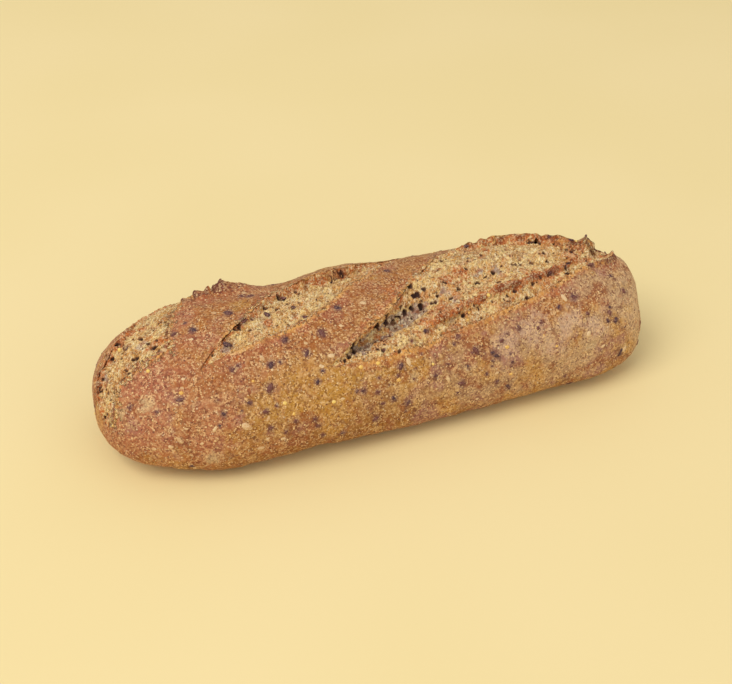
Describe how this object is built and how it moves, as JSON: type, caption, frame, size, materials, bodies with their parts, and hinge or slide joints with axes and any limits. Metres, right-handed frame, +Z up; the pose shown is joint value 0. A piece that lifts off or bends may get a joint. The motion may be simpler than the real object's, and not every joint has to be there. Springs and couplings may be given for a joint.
{
  "type": "multigrain loaf",
  "caption": "Oblong crusty multigrain loaf with slashes torn open across its top, grains in its crust and a flat base to rest on.",
  "frame": {"origin": "on the ground, under the middle of the loaf's box", "axes": "+X along the loaf from its round end to its blunt end, -Y towards the side the slashes open from, +Z up"},
  "size_m": [0.2407, 0.0846, 0.0559],
  "materials": {
    "crust": "matte baked crust, golden to reddish brown, speckled with grains, with pale torn crumb in the slashes"
  },
  "bodies": {
    "root": {"loaf": "crust"}
  },
  "joints": []
}
